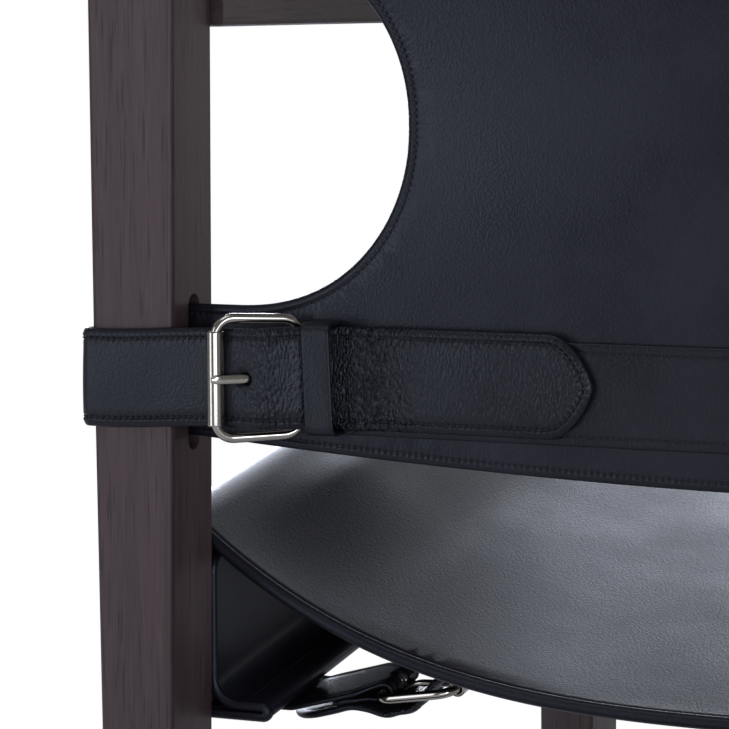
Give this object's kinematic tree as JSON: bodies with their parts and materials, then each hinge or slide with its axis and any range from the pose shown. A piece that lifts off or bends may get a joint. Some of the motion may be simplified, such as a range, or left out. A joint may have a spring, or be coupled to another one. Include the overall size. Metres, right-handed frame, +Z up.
{
  "type": "leather sling lounge chair",
  "caption": "Low lounge chair with square slotted wooden posts, flat armrests, a leather back panel held by buckled straps and a leather seat sling buckled underneath.",
  "frame": {"origin": "on the floor, under the middle of the chair's bounding box", "axes": "+Z up, +Y the way the sitter faces, +X the sitter's right"},
  "size_m": [0.673, 0.6192, 0.69],
  "materials": {
    "stained_wood": "dark brown stained open-pored wood, satin oil finish",
    "sling_leather": "black saddle leather, smooth fine grain, semi-gloss",
    "strap_leather": "black strap leather with rounded burnished edges and black stitching",
    "nickel_steel": "nickel-plated steel, polished",
    "glide_plastic": "dark moulded nylon"
  },
  "bodies": {
    "chair": {"rear_post_left": "stained_wood", "rear_post_right": "stained_wood", "front_leg_left": "stained_wood", "front_leg_right": "stained_wood", "seat_rail_left": "stained_wood", "seat_rail_right": "stained_wood", "armrest_left": "stained_wood", "armrest_right": "stained_wood", "rear_stretcher": "stained_wood", "front_stretcher": "stained_wood", "rear_foot_glide_left": "glide_plastic", "rear_foot_glide_right": "glide_plastic", "front_foot_glide_left": "glide_plastic", "front_foot_glide_right": "glide_plastic", "back_panel": "sling_leather", "seat_sling": "sling_leather", "back_band_lower": "strap_leather", "back_band_upper": "strap_leather", "back_strap_lower_left": "strap_leather", "back_strap_lower_right": "strap_leather", "back_strap_upper_left": "strap_leather", "back_strap_upper_right": "strap_leather", "back_keeper_lower_left": "strap_leather", "back_keeper_lower_right": "strap_leather", "back_keeper_upper_left": "strap_leather", "back_keeper_upper_right": "strap_leather", "seat_tab_rear": "strap_leather", "seat_tab_middle": "strap_leather", "seat_tab_front": "strap_leather", "seat_strap_rear": "strap_leather", "seat_strap_middle": "strap_leather", "seat_strap_front": "strap_leather", "back_buckle_lower_left": "nickel_steel", "back_buckle_lower_right": "nickel_steel", "back_buckle_upper_left": "nickel_steel", "back_buckle_upper_right": "nickel_steel", "seat_buckle_rear": "nickel_steel", "seat_buckle_middle": "nickel_steel", "seat_buckle_front": "nickel_steel"},
    "back_roller_lower_left": {"back_roller_lower_left": "nickel_steel"},
    "back_prong_lower_left": {"back_prong_lower_left": "nickel_steel"},
    "back_roller_lower_right": {"back_roller_lower_right": "nickel_steel"},
    "back_prong_lower_right": {"back_prong_lower_right": "nickel_steel"},
    "back_roller_upper_left": {"back_roller_upper_left": "nickel_steel"},
    "back_prong_upper_left": {"back_prong_upper_left": "nickel_steel"},
    "back_roller_upper_right": {"back_roller_upper_right": "nickel_steel"},
    "back_prong_upper_right": {"back_prong_upper_right": "nickel_steel"},
    "seat_roller_rear": {"seat_roller_rear": "nickel_steel"},
    "seat_prong_rear": {"seat_prong_rear": "nickel_steel"},
    "seat_roller_middle": {"seat_roller_middle": "nickel_steel"},
    "seat_prong_middle": {"seat_prong_middle": "nickel_steel"},
    "seat_roller_front": {"seat_roller_front": "nickel_steel"},
    "seat_prong_front": {"seat_prong_front": "nickel_steel"}
  },
  "joints": [
    {"name": "back_roller_lower_left_spin", "type": "hinge", "parent": "chair", "child": "back_roller_lower_left", "pos_m": [-0.24453, -0.30443, 0.3908], "axis": [0, 0, 1], "continuous": true},
    {"name": "back_prong_lower_left_lift", "type": "hinge", "parent": "chair", "child": "back_prong_lower_left", "pos_m": [-0.213, -0.28064, 0.3908], "axis": [0, 0, 1], "range_deg": [0, 4]},
    {"name": "back_roller_lower_right_spin", "type": "hinge", "parent": "chair", "child": "back_roller_lower_right", "pos_m": [0.24453, -0.30443, 0.3908], "axis": [0, 0, 1], "continuous": true},
    {"name": "back_prong_lower_right_lift", "type": "hinge", "parent": "chair", "child": "back_prong_lower_right", "pos_m": [0.213, -0.28064, 0.3908], "axis": [0, 0, -1], "range_deg": [0, 4]},
    {"name": "back_roller_upper_left_spin", "type": "hinge", "parent": "chair", "child": "back_roller_upper_left", "pos_m": [-0.24519, -0.30353, 0.6148], "axis": [0, 0, 1], "continuous": true},
    {"name": "back_prong_upper_left_lift", "type": "hinge", "parent": "chair", "child": "back_prong_upper_left", "pos_m": [-0.213, -0.28064, 0.6148], "axis": [0, 0, 1], "range_deg": [0, 4]},
    {"name": "back_roller_upper_right_spin", "type": "hinge", "parent": "chair", "child": "back_roller_upper_right", "pos_m": [0.24519, -0.30353, 0.6148], "axis": [0, 0, 1], "continuous": true},
    {"name": "back_prong_upper_right_lift", "type": "hinge", "parent": "chair", "child": "back_prong_upper_right", "pos_m": [0.213, -0.28064, 0.6148], "axis": [0, 0, -1], "range_deg": [0, 4]},
    {"name": "seat_roller_rear_spin", "type": "hinge", "parent": "chair", "child": "seat_roller_rear", "pos_m": [-0.16038, -0.21048, 0.2481], "axis": [0, 0.9877, 0.1564], "continuous": true},
    {"name": "seat_prong_rear_lift", "type": "hinge", "parent": "chair", "child": "seat_prong_rear", "pos_m": [-0.19928, -0.2094, 0.2413], "axis": [0, 0.9877, 0.1564], "range_deg": [0, 4]},
    {"name": "seat_roller_middle_spin", "type": "hinge", "parent": "chair", "child": "seat_roller_middle", "pos_m": [-0.16038, -0.00013, 0.28142], "axis": [0, 0.9877, 0.1564], "continuous": true},
    {"name": "seat_prong_middle_lift", "type": "hinge", "parent": "chair", "child": "seat_prong_middle", "pos_m": [-0.19928, 0.00095, 0.27462], "axis": [0, 0.9877, 0.1564], "range_deg": [0, 4]},
    {"name": "seat_roller_front_spin", "type": "hinge", "parent": "chair", "child": "seat_roller_front", "pos_m": [-0.16038, 0.21023, 0.31474], "axis": [0, 0.9877, 0.1564], "continuous": true},
    {"name": "seat_prong_front_lift", "type": "hinge", "parent": "chair", "child": "seat_prong_front", "pos_m": [-0.19928, 0.2113, 0.30793], "axis": [0, 0.9877, 0.1564], "range_deg": [0, 4]}
  ]
}
